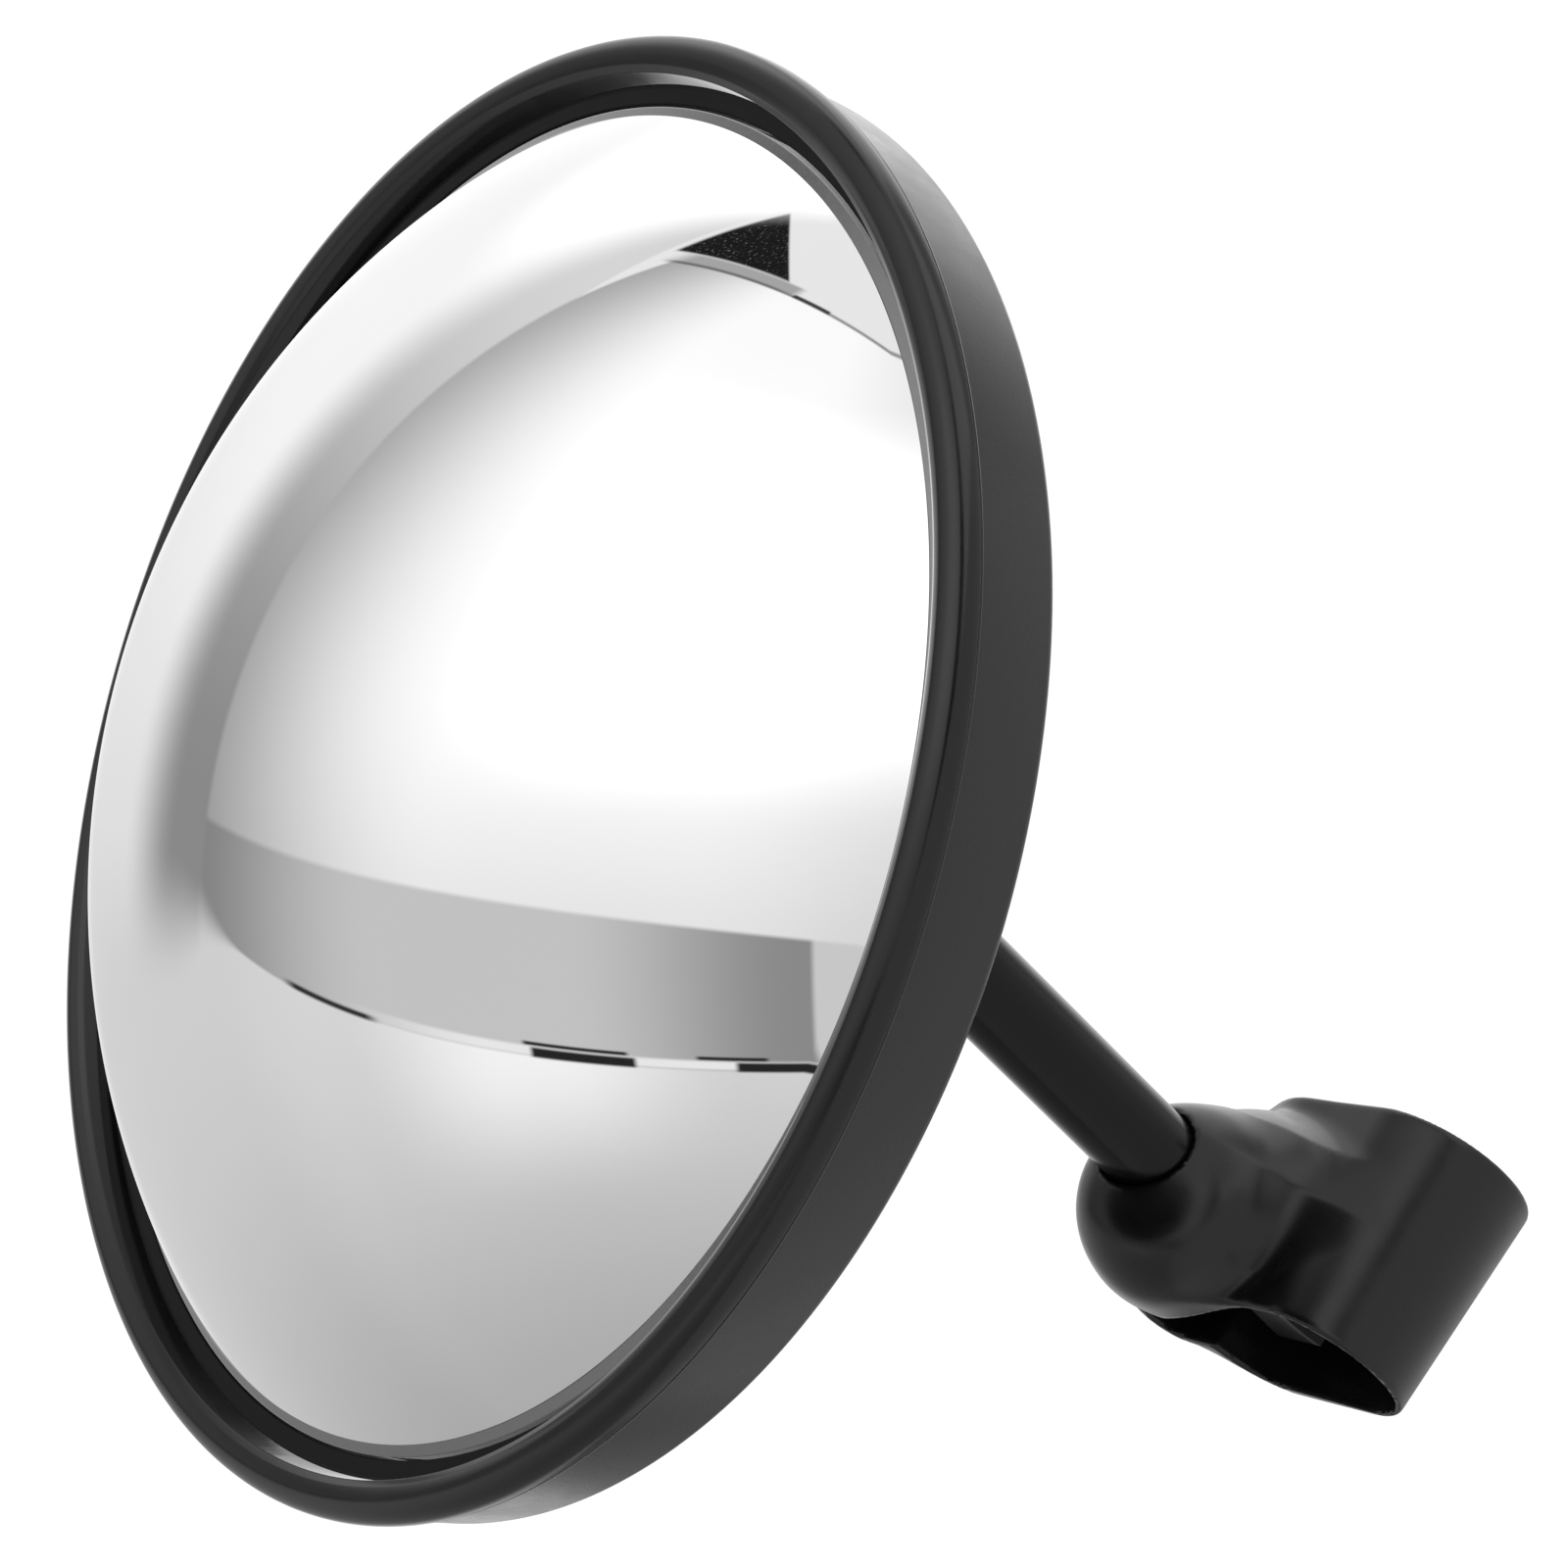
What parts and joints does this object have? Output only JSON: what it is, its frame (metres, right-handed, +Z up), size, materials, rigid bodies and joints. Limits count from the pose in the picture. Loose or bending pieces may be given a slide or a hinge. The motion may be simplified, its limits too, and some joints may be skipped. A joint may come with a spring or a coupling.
{
  "type": "handlebar mirror",
  "caption": "Round convex rear-view mirror in a black rim, on a bent round arm with a ball joint and a clamp-on handlebar sleeve.",
  "frame": {"origin": "centre of the handlebar bore, at half the sleeve's length", "axes": "+X along the handlebar, +Z up, the mirror faces -Y, up and towards -X"},
  "size_m": [0.1526, 0.1841, 0.1897],
  "materials": {
    "mirror": "convex silvered mirror with a fine ground edge",
    "foam": "closed-cell foam tape",
    "satin_black": "satin black moulded plastic",
    "nylon": "natural nylon",
    "steel": "zinc plated steel",
    "coated_metal": "satin black powder-coated tube",
    "aluminium": "machined aluminium",
    "bracket_black": "smooth satin black glass-filled nylon",
    "rubber": "black grip rubber",
    "brass": "knurled brass insert",
    "black_steel": "black oxide steel"
  },
  "bodies": {
    "bracket": {"clamp_body": "bracket_black", "arm_bushing": "nylon", "clamp_insert": "brass"},
    "saddle": {"clamp_saddle": "black_steel", "saddle_pad": "rubber"},
    "grub_screw": {"clamp_screw": "black_steel"},
    "arm": {"arm_tube": "coated_metal", "arm_elbow": "satin_black", "arm_insert": "aluminium", "arm_washer": "steel", "arm_screw": "steel", "ball_stud": "steel"},
    "ball_liner": {"socket_liner": "nylon"},
    "head": {"mirror_glass": "mirror", "glass_tape": "foam", "bezel_ring": "satin_black", "back_shell": "satin_black", "socket_collar": "satin_black", "collar_screws": "steel", "collar_washers": "steel"}
  },
  "joints": [
    {"name": "arm_swivel", "type": "hinge", "parent": "bracket", "child": "arm", "pos_m": [-0.0048, 0.00062, 0.0246], "axis": [0, -0.7431, 0.6691], "continuous": true},
    {"name": "head_pan", "type": "hinge", "parent": "arm", "child": "ball_liner", "pos_m": [-0.02114, -0.07912, 0.08682], "axis": [0.2189, 0.3615, 0.9063], "range_deg": [-15, 15]},
    {"name": "head_tilt", "type": "hinge", "parent": "ball_liner", "child": "head", "pos_m": [-0.02114, -0.07912, 0.08682], "axis": [0.8554, -0.518, 0], "range_deg": [-15, 15]},
    {"name": "saddle_slide", "type": "slide", "parent": "bracket", "child": "saddle", "axis": [0, -0.6691, -0.7431], "range_m": [0, 0.004]},
    {"name": "grub_screw_turn", "type": "hinge", "parent": "saddle", "child": "grub_screw", "pos_m": [0, 0.01227, 0.01587], "axis": [0, -0.6691, -0.7431], "range_deg": [0, 1800]}
  ],
  "couplings": [
    {"joint": "grub_screw_turn", "follows": "saddle_slide", "rad_per_m": 7854}
  ]
}
